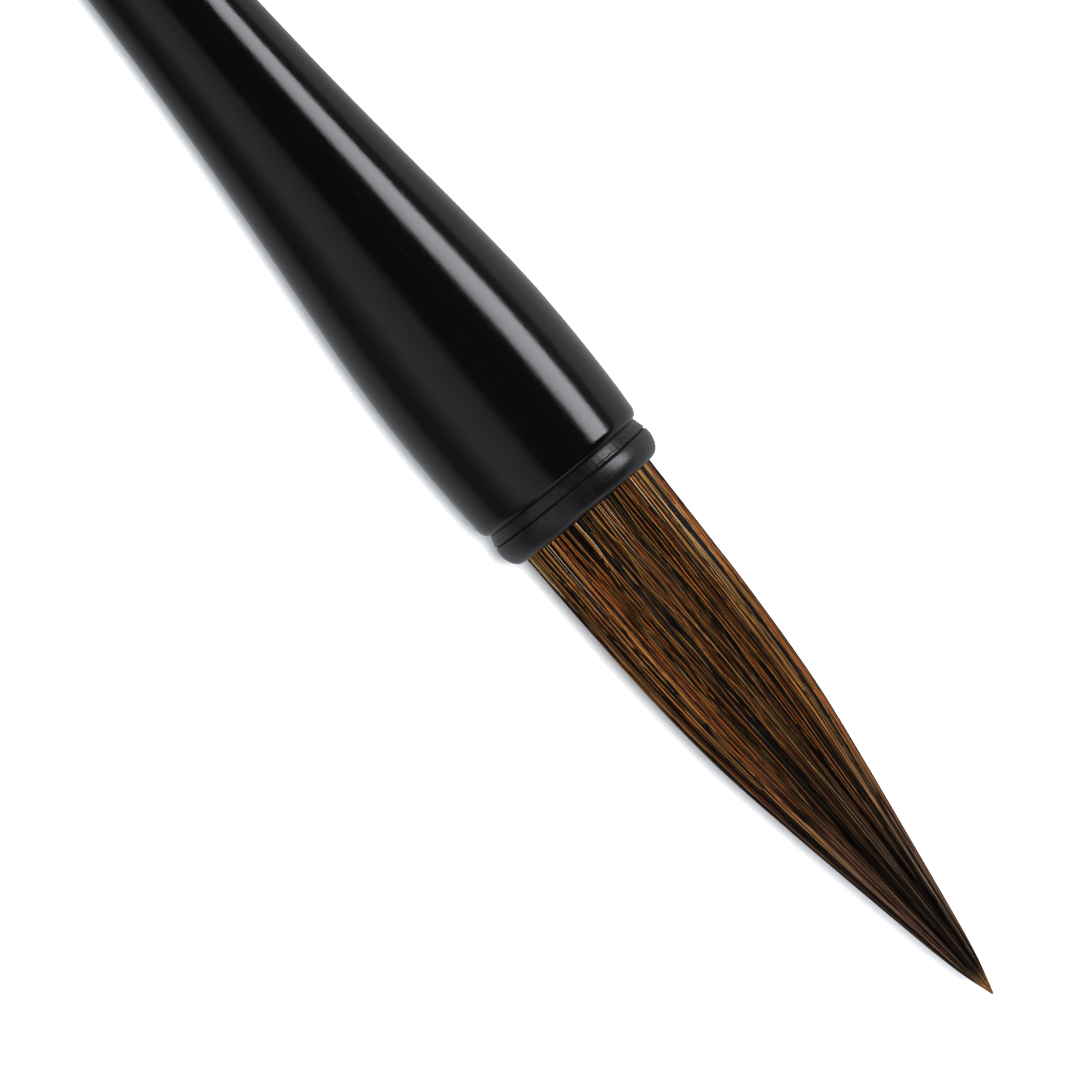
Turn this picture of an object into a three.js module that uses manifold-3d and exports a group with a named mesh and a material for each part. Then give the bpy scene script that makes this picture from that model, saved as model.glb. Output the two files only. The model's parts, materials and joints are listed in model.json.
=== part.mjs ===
// A large calligraphy brush: a turned, black lacquered handle that swells towards the hair, a ring round
// its mouth, the tied and glued root of the hair in a socket behind that ring, and a pointed tuft that bends.
//
// Millimetres, +Z up. The brush lies as it does on a table, touching it at the swelling and at the small
// ring near its far end, so the tip of the hair points very slightly upwards.
//
// Every turned shape is drawn as an outline of [along, radius] points. "along" is the distance from the
// mouth of the handle: positive towards the tip of the hair, negative towards the far end.

import * as THREE from "three";
import { mergeVertices } from "three/addons/utils/BufferGeometryUtils.js";
import Module from "manifold-3d";

// ---------------------------------------------------------------- driving dimensions

const FACETS = 36; // flats round a piece that shows
const HIDDEN_FACETS = 24; // flats round a piece inside the socket or the tuft
const GAP = 0.3; // clearance between pieces that touch

// The handle, from its mouth to its far end.
const BULGE_AT = -14.7; // the widest place, just behind the mouth
const BULGE_RADIUS = 9.6;
const NECK_AT = -95; // the narrowest place
const NECK_RADIUS = 5.35;
const FLARE_AT = -164; // where the wood ends, opened out again a little
const FLARE_RADIUS = 6.1;

// The ring round the mouth: a bead in front, a flat band behind it and a sleeve inside the wood.
const MOUTH_RADIUS = 7.75; // the hole that the hair comes out of
const BEAD_RADIUS = 9.1;
const BEAD_BACK = -3.3;
const BAND_RADIUS = 8.76;
const BAND_BACK = -3.9;
const SLEEVE_RADIUS = 8.2;
const SLEEVE_BACK = -9;

// The socket in the wood and what fills it, from its floor forwards.
const SOCKET_FLOOR = -17;
const GLUE_THICKNESS = 1.4;
const ROSIN_THICKNESS = 1;
const ROOT_RADIUS = 7.1; // the bound end of the hair
const TIE_RADIUS = 6.1; // the waist that the thread pulls into it
const TIE_TURNS = 4;
const THREAD_DIAMETER = 0.7;

// The hair outside the mouth.
const HAIR_LENGTH = 60;
const HAIR_STATIONS = [
  [0, 7.5],
  [12.6, 7.13],
  [24.8, 6.32],
  [33.9, 5.06],
  [46.1, 3.0],
  [55.2, 1.35],
  [HAIR_LENGTH, 0],
];
const MANTLE_THICKNESS = 1.6; // the layer of long outer hairs
const CORE_RADIUS = 2.4; // the stiff column in the middle

// The bend of the tuft. Its moving hair is cut from its standing hair along a ball round the pivot.
const PIVOT_AT = 9;
const BALL_RADIUS = 8.4;

// The far end: a ring, then a turned finial with a hole for a hanging loop.
const TOP_RING_LENGTH = 4;
const TOP_RING_RADIUS = 6.6;
const TOP_BAND_RADIUS = 5.6;
const TENON_RADIUS = 2.6;
const TENON_LENGTH = 12;
const FINIAL_END = -180;
const FINIAL_NECK_RADIUS = 3.1;
const FINIAL_BALL_RADIUS = 4.1;
const FINIAL_FACE_RADIUS = 2.4;
const LOOP_HOLE_RADIUS = 1.15;

// ---------------------------------------------------------------- materials

const lacquer = new THREE.MeshStandardMaterial({ color: 0x0a090a, roughness: 0.16, metalness: 0 });
const horn = new THREE.MeshStandardMaterial({ color: 0x0d0c0d, roughness: 0.38, metalness: 0 });
const glue = new THREE.MeshStandardMaterial({ color: 0xb08a4a, roughness: 0.4, metalness: 0 });
const rosin = new THREE.MeshStandardMaterial({ color: 0x6b3d12, roughness: 0.3, metalness: 0 });
const thread = new THREE.MeshStandardMaterial({ color: 0xd8cdb4, roughness: 0.9, metalness: 0 });
const outerHair = new THREE.MeshStandardMaterial({ color: 0x5f3413, roughness: 0.55, metalness: 0 });
const innerHair = new THREE.MeshStandardMaterial({ color: 0x2a1a10, roughness: 0.6, metalness: 0 });

// ---------------------------------------------------------------- outline helpers

const point = (along, radius) => new THREE.Vector2(along, radius);

/** Points on a quarter of an ellipse, from one end to the other. `corner` is where its two tangents meet. */
function roundedCorner(from, corner, to, steps) {
  const centre = from.clone().add(to).sub(corner);
  return Array.from({ length: steps + 1 }, (_, i) => {
    const angle = (i / steps) * (Math.PI / 2);
    return centre
      .clone()
      .addScaledVector(from.clone().sub(centre), Math.cos(angle))
      .addScaledVector(to.clone().sub(centre), Math.sin(angle));
  });
}

/** Points on the ball of the given radius round the pivot, between two distances from the axis. */
function ballArc(ballRadius, fromRadius, toRadius, steps) {
  const fromAngle = Math.asin(fromRadius / ballRadius);
  const toAngle = Math.asin(toRadius / ballRadius);
  return Array.from({ length: steps + 1 }, (_, i) => {
    const angle = THREE.MathUtils.lerp(fromAngle, toAngle, i / steps);
    return point(PIVOT_AT + ballRadius * Math.cos(angle), ballRadius * Math.sin(angle));
  });
}

/** Where a rising function crosses zero between two bounds. */
function crossing(rising, low, high) {
  for (let i = 0; i < 50; i += 1) {
    const middle = (low + high) / 2;
    if (rising(middle) > 0) high = middle;
    else low = middle;
  }
  return (low + high) / 2;
}

// ---------------------------------------------------------------- the hair's outline

const hairCurve = new THREE.SplineCurve(HAIR_STATIONS.map(([along, radius]) => point(along, radius)));

/** The radius of the tuft at a distance from the mouth. */
function hairRadius(along) {
  const place = crossing((t) => hairCurve.getPoint(t).x - along, 0, 1);
  return hairCurve.getPoint(place).y;
}

/** Where a surface lying `depth` under the hair's surface leaves the ball round the pivot. */
function leavesBall(ballRadius, depth) {
  const beyondBall = (along) => Math.hypot(along - PIVOT_AT, hairRadius(along) - depth) - ballRadius;
  return crossing(beyondBall, PIVOT_AT, PIVOT_AT + ballRadius);
}

/** Where a surface lying `depth` under the hair's surface has narrowed to a radius. */
function narrowsTo(radius, depth) {
  return crossing((along) => radius + depth - hairRadius(along), 0, HAIR_LENGTH);
}

/** Points on the surface lying `depth` under the hair's surface. */
function hairSurface(depth, from, to, steps) {
  return Array.from({ length: steps + 1 }, (_, i) => {
    const along = THREE.MathUtils.lerp(from, to, i / steps);
    return point(along, Math.max(hairRadius(along) - depth, 0));
  });
}

// ---------------------------------------------------------------- solids

/** A solid of revolution about X, turned so that a flat faces down, from an outline that runs with +X. */
function turned(name, outline, material, facets = FACETS) {
  const lathePoints = outline.map((p) => new THREE.Vector2(p.y, p.x));
  const geometry = new THREE.LatheGeometry(lathePoints, facets, Math.PI / facets);
  geometry.rotateZ(-Math.PI / 2);
  const mesh = new THREE.Mesh(geometry, material);
  mesh.name = name;
  return mesh;
}

const wasm = await Module();
wasm.setup();

/** The closed mesh as a solid that can be cut. */
function solidOf(geometry) {
  const bare = geometry.clone();
  bare.deleteAttribute("normal");
  bare.deleteAttribute("uv");
  const merged = mergeVertices(bare, 1e-4);
  const corners = merged.index.array;
  const triVerts = [];
  for (let i = 0; i < corners.length; i += 3) {
    const [a, b, c] = [corners[i], corners[i + 1], corners[i + 2]];
    if (a !== b && b !== c && c !== a) triVerts.push(a, b, c);
  }
  const vertProperties = new Float32Array(merged.attributes.position.array);
  return new wasm.Manifold(new wasm.Mesh({ numProp: 3, vertProperties, triVerts: new Uint32Array(triVerts) }));
}

/** The solid as a mesh geometry. */
function geometryOf(solid) {
  const mesh = solid.getMesh();
  const geometry = new THREE.BufferGeometry();
  geometry.setAttribute("position", new THREE.BufferAttribute(mesh.vertProperties, 3));
  geometry.setIndex(new THREE.BufferAttribute(mesh.triVerts, 1));
  geometry.computeVertexNormals();
  return geometry;
}

// ---------------------------------------------------------------- handle and its rings

/** The turned wood, with a stepped socket for the hair in front and a hole for the finial's tenon behind. */
function handleBody() {
  const front = BAND_BACK - GAP;
  const shoulder = 1;
  const shoulderRadius = 9.34;
  const socketStep = SLEEVE_BACK - GAP;
  const tenonFloor = FLARE_AT + TENON_LENGTH + GAP;
  const swell = new THREE.CubicBezierCurve(
    point(NECK_AT, NECK_RADIUS),
    point(-45, NECK_RADIUS),
    point(-31.7, BULGE_RADIUS),
    point(BULGE_AT, BULGE_RADIUS),
  );
  const flare = new THREE.CubicBezierCurve(
    point(FLARE_AT, FLARE_RADIUS),
    point(-146, 5.6),
    point(-122, NECK_RADIUS),
    point(NECK_AT, NECK_RADIUS),
  );
  const closing = new THREE.QuadraticBezierCurve(
    point(BULGE_AT, BULGE_RADIUS),
    point(-8.8, BULGE_RADIUS),
    point(front - shoulder, shoulderRadius),
  );
  const outline = [
    point(tenonFloor, 0),
    point(tenonFloor, TENON_RADIUS + GAP),
    point(FLARE_AT, TENON_RADIUS + GAP),
    ...flare.getPoints(7),
    ...swell.getPoints(14).slice(1),
    ...closing.getPoints(4).slice(1),
    ...roundedCorner(
      point(front - shoulder, shoulderRadius),
      point(front, shoulderRadius),
      point(front, SLEEVE_RADIUS + 2 * GAP),
      4,
    ).slice(1),
    point(front, SLEEVE_RADIUS + GAP),
    point(socketStep, SLEEVE_RADIUS + GAP),
    point(socketStep, MOUTH_RADIUS),
    point(SOCKET_FLOOR, MOUTH_RADIUS),
    point(SOCKET_FLOOR, 0),
  ];
  return turned("handle_body", outline, lacquer);
}

/** The ring round the mouth, which grips the hair and closes the end of the wood. */
function collarRing() {
  const crown = -2.3;
  const lip = 0.15; // the flat edge left round the hole in front
  const outline = [
    point(SLEEVE_BACK, MOUTH_RADIUS),
    point(SLEEVE_BACK, SLEEVE_RADIUS),
    point(BAND_BACK, SLEEVE_RADIUS),
    point(BAND_BACK, BAND_RADIUS),
    point(BEAD_BACK, BAND_RADIUS),
    ...roundedCorner(
      point(BEAD_BACK, BAND_RADIUS),
      point(BEAD_BACK, BEAD_RADIUS),
      point(crown, BEAD_RADIUS),
      3,
    ).slice(1),
    ...roundedCorner(
      point(crown, BEAD_RADIUS),
      point(0, BEAD_RADIUS),
      point(0, MOUTH_RADIUS + lip),
      7,
    ).slice(1),
    point(0, MOUTH_RADIUS),
    point(SLEEVE_BACK, MOUTH_RADIUS),
  ];
  return turned("collar_ring", outline, horn);
}

/** The ring at the far end of the wood: a half-round bead between two narrow bands. */
function topRing() {
  const front = FLARE_AT - GAP;
  const back = front - TOP_RING_LENGTH;
  const band = 0.8;
  const beadMiddle = (front + back) / 2;
  const outline = [
    point(back, TENON_RADIUS + GAP),
    point(back, TOP_BAND_RADIUS),
    point(back + band, TOP_BAND_RADIUS),
    ...roundedCorner(
      point(back + band, TOP_BAND_RADIUS),
      point(back + band, TOP_RING_RADIUS),
      point(beadMiddle, TOP_RING_RADIUS),
      4,
    ).slice(1),
    ...roundedCorner(
      point(beadMiddle, TOP_RING_RADIUS),
      point(front - band, TOP_RING_RADIUS),
      point(front - band, TOP_BAND_RADIUS),
      4,
    ).slice(1),
    point(front, TOP_BAND_RADIUS),
    point(front, TENON_RADIUS + GAP),
    point(back, TENON_RADIUS + GAP),
  ];
  return turned("top_ring", outline, horn);
}

/** The turned finial, with a tenon into the wood, a flat end and a cross hole for a hanging loop. */
function finial() {
  const shoulderAt = FLARE_AT - TOP_RING_LENGTH - 2 * GAP;
  const neckAt = shoulderAt - 3;
  const ballAt = FINIAL_END + 3.6;
  const outline = [
    point(FINIAL_END, 0),
    point(FINIAL_END, FINIAL_FACE_RADIUS),
    ...roundedCorner(
      point(FINIAL_END, FINIAL_FACE_RADIUS),
      point(FINIAL_END, FINIAL_BALL_RADIUS),
      point(ballAt, FINIAL_BALL_RADIUS),
      6,
    ).slice(1),
    ...roundedCorner(
      point(ballAt, FINIAL_BALL_RADIUS),
      point(neckAt, FINIAL_BALL_RADIUS),
      point(neckAt, FINIAL_NECK_RADIUS),
      5,
    ).slice(1),
    ...roundedCorner(
      point(neckAt, FINIAL_NECK_RADIUS),
      point(shoulderAt, FINIAL_NECK_RADIUS),
      point(shoulderAt, TOP_BAND_RADIUS),
      6,
    ).slice(1),
    point(shoulderAt, TENON_RADIUS),
    point(FLARE_AT + TENON_LENGTH, TENON_RADIUS),
    point(FLARE_AT + TENON_LENGTH, 0),
  ];
  const mesh = turned("finial", outline, horn);
  const drill = new THREE.CylinderGeometry(LOOP_HOLE_RADIUS, LOOP_HOLE_RADIUS, 4 * FINIAL_BALL_RADIUS, 20);
  drill.translate(ballAt, 0, 0);
  mesh.geometry = geometryOf(solidOf(mesh.geometry).subtract(solidOf(drill)));
  return mesh;
}

// ---------------------------------------------------------------- inside the socket

const glueFront = SOCKET_FLOOR + GAP + GLUE_THICKNESS;
const rosinFront = glueFront + GAP + ROSIN_THICKNESS;
const tieBack = rosinFront + 2 * GAP + 0.8;
const tieFront = tieBack + TIE_TURNS * THREAD_DIAMETER;

/** The adhesive on the socket's floor. */
function glueBed() {
  const radius = MOUTH_RADIUS - GAP;
  const outline = [
    point(SOCKET_FLOOR + GAP, 0),
    point(SOCKET_FLOOR + GAP, radius),
    point(glueFront, radius),
    point(glueFront, 0),
  ];
  return turned("glue_bed", outline, glue, HIDDEN_FACETS);
}

/** The disc of rosin melted over the cut ends of the hair. */
function rosinSeal() {
  const edge = 0.4;
  const outline = [
    point(glueFront + GAP, 0),
    point(glueFront + GAP, ROOT_RADIUS - edge),
    point(glueFront + GAP + edge, ROOT_RADIUS),
    point(rosinFront, ROOT_RADIUS),
    point(rosinFront, 0),
  ];
  return turned("rosin_seal", outline, rosin, HIDDEN_FACETS);
}

/** The thread that ties the root, wound in a few turns side by side. */
function rootThread() {
  const innerRadius = TIE_RADIUS + GAP;
  const coreRadius = innerRadius + THREAD_DIAMETER / 2;
  const bumps = [];
  for (let turn = 0; turn < TIE_TURNS; turn += 1) {
    const start = tieBack + turn * THREAD_DIAMETER;
    for (let step = turn === 0 ? 0 : 1; step <= 3; step += 1) {
      const angle = (step / 3) * Math.PI;
      const rise = Math.sin(angle) * (THREAD_DIAMETER / 2);
      bumps.push(point(start + ((1 - Math.cos(angle)) * THREAD_DIAMETER) / 2, coreRadius + rise));
    }
  }
  const outline = [
    point(tieBack, innerRadius),
    ...bumps,
    point(tieFront, innerRadius),
    point(tieBack, innerRadius),
  ];
  return turned("root_thread", outline, thread, HIDDEN_FACETS);
}

/** The hair that stands still: bound and glued in the socket, and ending in a ball under the moving hair. */
function hairRoot() {
  const back = rosinFront + GAP;
  const dome = BALL_RADIUS - GAP;
  const rim = leavesBall(dome, 0);
  const outline = [
    point(back, 0),
    point(back, ROOT_RADIUS),
    point(tieBack - GAP, ROOT_RADIUS),
    point(tieBack - GAP, TIE_RADIUS),
    point(tieFront + GAP, TIE_RADIUS),
    point(tieFront + 2 * GAP, ROOT_RADIUS),
    point(SLEEVE_BACK + 2, MOUTH_RADIUS - GAP),
    ...hairSurface(0.05, 0, rim, 5).slice(0, -1),
    ...ballArc(dome, hairRadius(rim), 0, 6),
  ];
  return turned("hair_root", outline, outerHair);
}

// ---------------------------------------------------------------- the moving tuft

/** The stiff column in the middle, which runs almost to the tip. */
function hairCore() {
  const depth = MANTLE_THICKNESS + GAP;
  const taperFrom = narrowsTo(CORE_RADIUS, depth);
  const taperTo = narrowsTo(0, depth);
  const outline = [
    ...ballArc(BALL_RADIUS, 0, CORE_RADIUS, 3),
    ...hairSurface(depth, taperFrom, taperTo, 5),
  ];
  return turned("hair_core", outline, innerHair, HIDDEN_FACETS);
}

/** The short hairs packed round the column, which give the tuft its belly. */
function hairPadding() {
  const depth = MANTLE_THICKNESS + GAP;
  const innerRadius = CORE_RADIUS + GAP;
  const endThickness = 0.5;
  const back = leavesBall(BALL_RADIUS, depth);
  const end = narrowsTo(innerRadius + endThickness, depth);
  const outline = [
    ...ballArc(BALL_RADIUS, innerRadius, hairRadius(back) - depth, 4),
    ...hairSurface(depth, back, end, 5).slice(1),
    point(end, innerRadius),
  ];
  outline.push(outline[0].clone());
  return turned("hair_padding", outline, innerHair, HIDDEN_FACETS);
}

/** The long outer hairs, closing to the tip of the brush. */
function hairMantle() {
  const back = leavesBall(BALL_RADIUS, MANTLE_THICKNESS);
  const hollowEnd = narrowsTo(0, MANTLE_THICKNESS);
  const rim = leavesBall(BALL_RADIUS, 0);
  const outline = [
    ...hairSurface(MANTLE_THICKNESS, back, hollowEnd, 8).reverse(),
    ...ballArc(BALL_RADIUS, hairRadius(back) - MANTLE_THICKNESS, hairRadius(rim), 4).slice(1),
    ...hairSurface(0, rim, HAIR_LENGTH, 16).slice(1),
  ];
  return turned("hair_mantle", outline, outerHair);
}

// ---------------------------------------------------------------- the brush, laid on the table

const brush = new THREE.Group();
brush.add(handleBody());
brush.add(collarRing());
brush.add(topRing());
brush.add(finial());
brush.add(glueBed());
brush.add(rosinSeal());
brush.add(rootThread());
brush.add(hairRoot());
brush.add(hairCore());
brush.add(hairPadding());
brush.add(hairMantle());

const topRingAt = FLARE_AT - GAP - TOP_RING_LENGTH / 2;
brush.rotation.y = -Math.asin((BULGE_RADIUS - TOP_RING_RADIUS) / (BULGE_AT - topRingAt));

const box = new THREE.Box3().setFromObject(brush, true);
brush.position.x = -(box.min.x + box.max.x) / 2;
brush.position.z = -box.min.z;

const group = new THREE.Group();
group.add(brush);

export default group;
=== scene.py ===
# A large calligraphy brush with a black lacquered handle, lying on a pale table under soft studio light.
#
# Metres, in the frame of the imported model. Most pieces are drawn in the brush's own terms: "along" is the
# distance from the mouth of the handle (positive towards the tip of the hair), "radius" is the distance from
# the brush's axis, and "angle" turns about that axis from straight up towards the side the light comes from.

import json
import math

import bmesh
import bpy
import numpy as np
from mathutils import Matrix, Vector

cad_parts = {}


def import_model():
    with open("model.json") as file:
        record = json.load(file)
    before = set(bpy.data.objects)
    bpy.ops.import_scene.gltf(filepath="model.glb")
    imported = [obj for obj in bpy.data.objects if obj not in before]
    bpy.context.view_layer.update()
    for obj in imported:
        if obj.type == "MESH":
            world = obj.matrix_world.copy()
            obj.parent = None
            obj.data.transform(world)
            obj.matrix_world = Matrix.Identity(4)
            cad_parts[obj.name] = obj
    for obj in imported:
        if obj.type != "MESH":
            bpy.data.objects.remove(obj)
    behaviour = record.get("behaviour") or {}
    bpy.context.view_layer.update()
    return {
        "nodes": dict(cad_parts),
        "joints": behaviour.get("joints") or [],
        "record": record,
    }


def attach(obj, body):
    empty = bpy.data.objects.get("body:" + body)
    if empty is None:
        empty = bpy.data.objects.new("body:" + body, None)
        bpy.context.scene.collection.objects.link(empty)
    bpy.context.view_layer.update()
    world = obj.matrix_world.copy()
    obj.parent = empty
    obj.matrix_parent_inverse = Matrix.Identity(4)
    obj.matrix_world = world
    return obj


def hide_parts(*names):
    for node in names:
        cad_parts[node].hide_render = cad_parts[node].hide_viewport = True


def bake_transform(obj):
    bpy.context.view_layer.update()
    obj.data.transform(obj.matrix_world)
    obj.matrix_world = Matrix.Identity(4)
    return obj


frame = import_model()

MM = 0.001

# ---------------------------------------------------------------- the brush's own axes, from the frame

JOINT = frame["joints"][0]
BUTT = frame["record"]["mounts"][0]
PIVOT = Vector(JOINT["pos_m"])
UP = Vector(JOINT["axis"]).normalized()
ALONG = -Vector(BUTT["axis"]).normalized()
SIDE = UP.cross(ALONG)
OUTER_FACE = 0.3  # how directly a face looks away from the axis to count as the outside of a turned piece
ON_AXIS = 1e-7  # a radius smaller than this is a point on the axis


def in_brush_terms(points):
    """The distance of points from the pivot along the brush, and from the brush's axis."""
    from_pivot = points - np.array(PIVOT)
    along = from_pivot @ np.array(ALONG)
    radius = np.sqrt(np.maximum((from_pivot ** 2).sum(1) - along ** 2, 0))
    return along, radius


def points_of(node):
    """The (along, radius) of every point of a turned CAD node, measured from the pivot."""
    vertices = frame["nodes"][node].data.vertices
    places = np.zeros(len(vertices) * 3)
    vertices.foreach_get("co", places)
    return in_brush_terms(places.reshape(-1, 3))


def outer_points_of(node):
    """The same, for the points of the faces that look away from the brush's axis."""
    mesh = frame["nodes"][node].data
    outer = set()
    for polygon in mesh.polygons:
        from_pivot = polygon.center - PIVOT
        outward = (from_pivot - ALONG * from_pivot.dot(ALONG)).normalized()
        if polygon.normal.dot(outward) > OUTER_FACE:
            outer.update(polygon.vertices)
    return in_brush_terms(np.array([mesh.vertices[v].co for v in sorted(outer)]))


MOUTH_FROM_PIVOT = points_of("collar_ring")[0].max()
MOUTH = PIVOT + ALONG * MOUTH_FROM_PIVOT


def outermost(*nodes):
    """The stations of some turned CAD nodes and the largest radius at each, measured from the mouth."""
    found = [outer_points_of(n) for n in nodes]
    along = np.concatenate([f[0] for f in found]) - MOUTH_FROM_PIVOT
    radius = np.concatenate([f[1] for f in found])
    pitch = 0.02 * MM
    station = np.round(along / pitch).astype(int)
    stations = np.unique(station)
    return stations * pitch, np.array([radius[station == s].max() for s in stations])


def smooth_curve(xs, ys):
    """A smooth function through the points that never swings past them."""
    xs, ys = np.asarray(xs, float), np.asarray(ys, float)
    step = np.diff(xs)
    rise = np.diff(ys) / step
    slope = np.zeros_like(ys)
    slope[0], slope[-1] = rise[0], rise[-1]
    same_way = rise[1:] * rise[:-1] > 0
    before, after = 2 * step[1:] + step[:-1], step[1:] + 2 * step[:-1]
    with np.errstate(divide="ignore", invalid="ignore"):
        harmonic = (before + after) / (before / rise[:-1] + after / rise[1:])
    slope[1:-1] = np.where(same_way, harmonic, 0)

    def curve(x):
        x = np.clip(np.asarray(x, float), xs[0], xs[-1])
        i = np.clip(np.searchsorted(xs, x) - 1, 0, len(xs) - 2)
        t = (x - xs[i]) / step[i]
        s = 1 - t
        value = ys[i] * (1 + 2 * t) * s * s + ys[i + 1] * (3 - 2 * t) * t * t
        return value + step[i] * t * s * (slope[i] * s - slope[i + 1] * t)

    return curve


def smoothstep(low, high, x):
    t = np.clip((x - low) / (high - low), 0, 1)
    return t * t * (3 - 2 * t)


def rounded_corner(start, corner, end, steps):
    """Points on a quarter of an ellipse from start to end. corner is where its two tangents meet."""
    start, corner, end = np.array(start), np.array(corner), np.array(end)
    centre = start + end - corner
    turn = np.linspace(0, math.pi / 2, steps + 1)[:, None]
    return [tuple(p) for p in centre + (start - centre) * np.cos(turn) + (end - centre) * np.sin(turn)]


# ---------------------------------------------------------------- driving dimensions, from the frame

def hair_outline():
    """The stations and radii of the hair outside the mouth, where nothing further on is wider."""
    stations, radii = outermost("hair_root", "hair_mantle")
    widest_beyond = np.maximum.accumulate(radii[::-1])[::-1]
    kept = (stations >= 0) & (radii >= widest_beyond)
    return stations[kept], radii[kept]


HAIR_STATIONS, HAIR_RADII = hair_outline()
HAIR_LENGTH = HAIR_STATIONS[-1]
HAIR_RADIUS = HAIR_RADII[0]
MOUTH_RADIUS = points_of("collar_ring")[1].min()
hair_radius_at = smooth_curve(HAIR_STATIONS, HAIR_RADII)

# ---------------------------------------------------------------- mesh helpers


def place(along, radius, angle):
    """Points of the row frame, as an array, from arrays in the brush's own terms."""
    along, radius, angle = np.broadcast_arrays(along, radius, angle)
    outward = np.cos(angle)[..., None] * np.array(UP) + np.sin(angle)[..., None] * np.array(SIDE)
    return np.array(MOUTH) + along[..., None] * np.array(ALONG) + radius[..., None] * outward


def new_object(name, points, faces):
    mesh = bpy.data.meshes.new(name)
    mesh.from_pydata([tuple(p) for p in points], [], faces)
    mesh.validate()
    mesh.update()
    made = bpy.data.objects.new(name, mesh)
    bpy.context.scene.collection.objects.link(made)
    return made


def shade(made, sharp_degrees=38):
    for polygon in made.data.polygons:
        polygon.use_smooth = True
    made.data.set_sharp_from_angle(angle=math.radians(sharp_degrees))


def revolve(name, outline, around=160, ripple=None):
    """A turned piece from (along, radius) points, which run towards the tip on the outside.

    The outline starts and ends on the axis, or ends where it starts. ripple adds to the radius.
    """
    rows, faces, rings = [], [], []
    angles = np.arange(around) * 2 * math.pi / around
    count = 0
    for along, radius in outline:
        if radius < ON_AXIS:
            rows.append(place(np.array([along]), np.array([0.0]), np.array([0.0])))
            rings.append([count] * around)
            count += 1
            continue
        radii = np.full(around, radius) if ripple is None else radius + ripple(along, angles)
        rows.append(place(np.full(around, along), radii, angles))
        rings.append(list(range(count, count + around)))
        count += around
    closes = np.allclose(outline[0], outline[-1]) and outline[0][1] > ON_AXIS
    if closes:
        rings[-1] = rings[0]
    for low, high in zip(rings, rings[1:]):
        for i in range(around):
            j = (i + 1) % around
            corners = [low[i], high[i], high[j], low[j]]
            kept = [c for k, c in enumerate(corners) if c != corners[k - 1]]
            if len(kept) > 2:
                faces.append(kept)
    points = np.concatenate(rows)
    made = new_object(name, points, faces)
    if closes:
        drop_loose_points(made)
    shade(made)
    return made


def drop_loose_points(made):
    work = bmesh.new()
    work.from_mesh(made.data)
    loose = [v for v in work.verts if not v.link_faces]
    bmesh.ops.delete(work, geom=loose, context="VERTS")
    work.to_mesh(made.data)
    work.free()


def finish_piece(made, body, material, slot, *nodes):
    made.data.materials.clear()
    made.data.materials.append(material)
    if nodes:
        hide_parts(*nodes)
    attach(made, body)
    return made


# ---------------------------------------------------------------- materials

TINT = "tint"  # the point attribute that holds a hair's colour


def linear(red, green, blue):
    """A colour given as it looks on a screen, 0 to 255, as linear light."""
    screen = np.array([red, green, blue]) / 255
    return tuple(np.where(screen <= 0.04045, screen / 12.92, ((screen + 0.055) / 1.055) ** 2.4))


class Shader:
    """A material with a Principled shader and short ways to add nodes to it."""

    def __init__(self, name, colour, roughness, **sockets):
        self.material = bpy.data.materials.new(name)
        self.material.use_nodes = True
        self.material.diffuse_color = (*colour, 1)
        self.tree = self.material.node_tree
        self.principled = self.tree.nodes["Principled BSDF"]
        self.principled.inputs["Base Color"].default_value = (*colour, 1)
        self.principled.inputs["Roughness"].default_value = roughness
        for socket, value in sockets.items():
            self.principled.inputs[socket.replace("_", " ")].default_value = value

    def node(self, kind, **settings):
        made = self.tree.nodes.new(kind)
        for key, value in settings.items():
            if key in made.inputs:
                made.inputs[key].default_value = value
            else:
                setattr(made, key, value)
        return made

    def link(self, source, target):
        self.tree.links.new(source, target)

    def noise(self, scale, stretch=(1, 1, 1), detail=3, roughness=0.55):
        """Noise in the object's own space. scale is in cycles per metre, divided by stretch on each axis."""
        where = self.node("ShaderNodeTexCoord")
        mapping = self.node("ShaderNodeMapping")
        mapping.inputs["Scale"].default_value = [scale / s for s in stretch]
        noise = self.node("ShaderNodeTexNoise", Scale=1.0, Detail=detail, Roughness=roughness)
        self.link(where.outputs["Object"], mapping.inputs["Vector"])
        self.link(mapping.outputs["Vector"], noise.inputs["Vector"])
        return noise.outputs["Fac"]

    def between(self, value, low, high, from_low=0.3, from_high=0.7):
        ranged = self.node("ShaderNodeMapRange")
        ranged.inputs["From Min"].default_value = from_low
        ranged.inputs["From Max"].default_value = from_high
        ranged.inputs["To Min"].default_value = low
        ranged.inputs["To Max"].default_value = high
        self.link(value, ranged.inputs["Value"])
        return ranged.outputs["Result"]

    def ramp(self, value, *stops):
        ramp = self.node("ShaderNodeValToRGB")
        while len(ramp.color_ramp.elements) < len(stops):
            ramp.color_ramp.elements.new(0.5)
        for element, (position, colour) in zip(ramp.color_ramp.elements, stops):
            element.position = position
            element.color = (*colour, 1)
        self.link(value, ramp.inputs["Fac"])
        return ramp.outputs["Color"]

    def bump(self, height, distance, strength=1.0, under=None):
        bump = self.node("ShaderNodeBump", Strength=strength, Distance=distance)
        self.link(height, bump.inputs["Height"])
        if under is not None:
            self.link(under, bump.inputs["Normal"])
        return bump.outputs["Normal"]

    def set(self, socket, source):
        self.link(source, self.principled.inputs[socket])


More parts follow.
